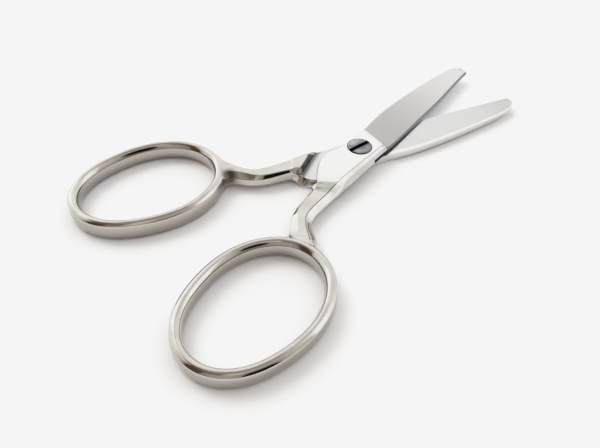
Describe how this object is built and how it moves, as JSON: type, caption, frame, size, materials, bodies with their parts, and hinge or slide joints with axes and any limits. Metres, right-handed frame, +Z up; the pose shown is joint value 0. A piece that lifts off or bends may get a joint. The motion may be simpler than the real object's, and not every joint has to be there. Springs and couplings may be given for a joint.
{
  "type": "thread snips",
  "caption": "Small forged steel thread snips: two ringed halves with blunt-tipped blades that lap at a slotted pivot screw.",
  "frame": {"origin": "on the pivot axis at the plane the snips lie on, at the centre of the pivot screw's lower end", "axes": "+Z up along the pivot axis, out of the screw's slotted head; +Y midway between the two blades towards their tips; +X towards the upper half's finger ring"},
  "size_m": [0.0664, 0.1107, 0.0053],
  "materials": {
    "lower_half": "bright nickel plate, ground blade",
    "upper_half": "bright nickel plate, ground blade",
    "pivot_screw": "turned steel"
  },
  "bodies": {
    "lower_half": {"lower_half": "lower_half"},
    "upper_half": {"upper_half": "upper_half"},
    "pivot_screw": {"pivot_screw": "pivot_screw"}
  },
  "joints": [
    {"name": "blade_pivot", "type": "hinge", "parent": "lower_half", "child": "upper_half", "pos_m": [0, 0, 0], "axis": [0, 0, 1], "range_deg": [-16.8, 75]},
    {"name": "screw_turn", "type": "hinge", "parent": "lower_half", "child": "pivot_screw", "pos_m": [0, 0, 0], "axis": [0, 0, 1], "range_deg": [-90, 90]}
  ]
}
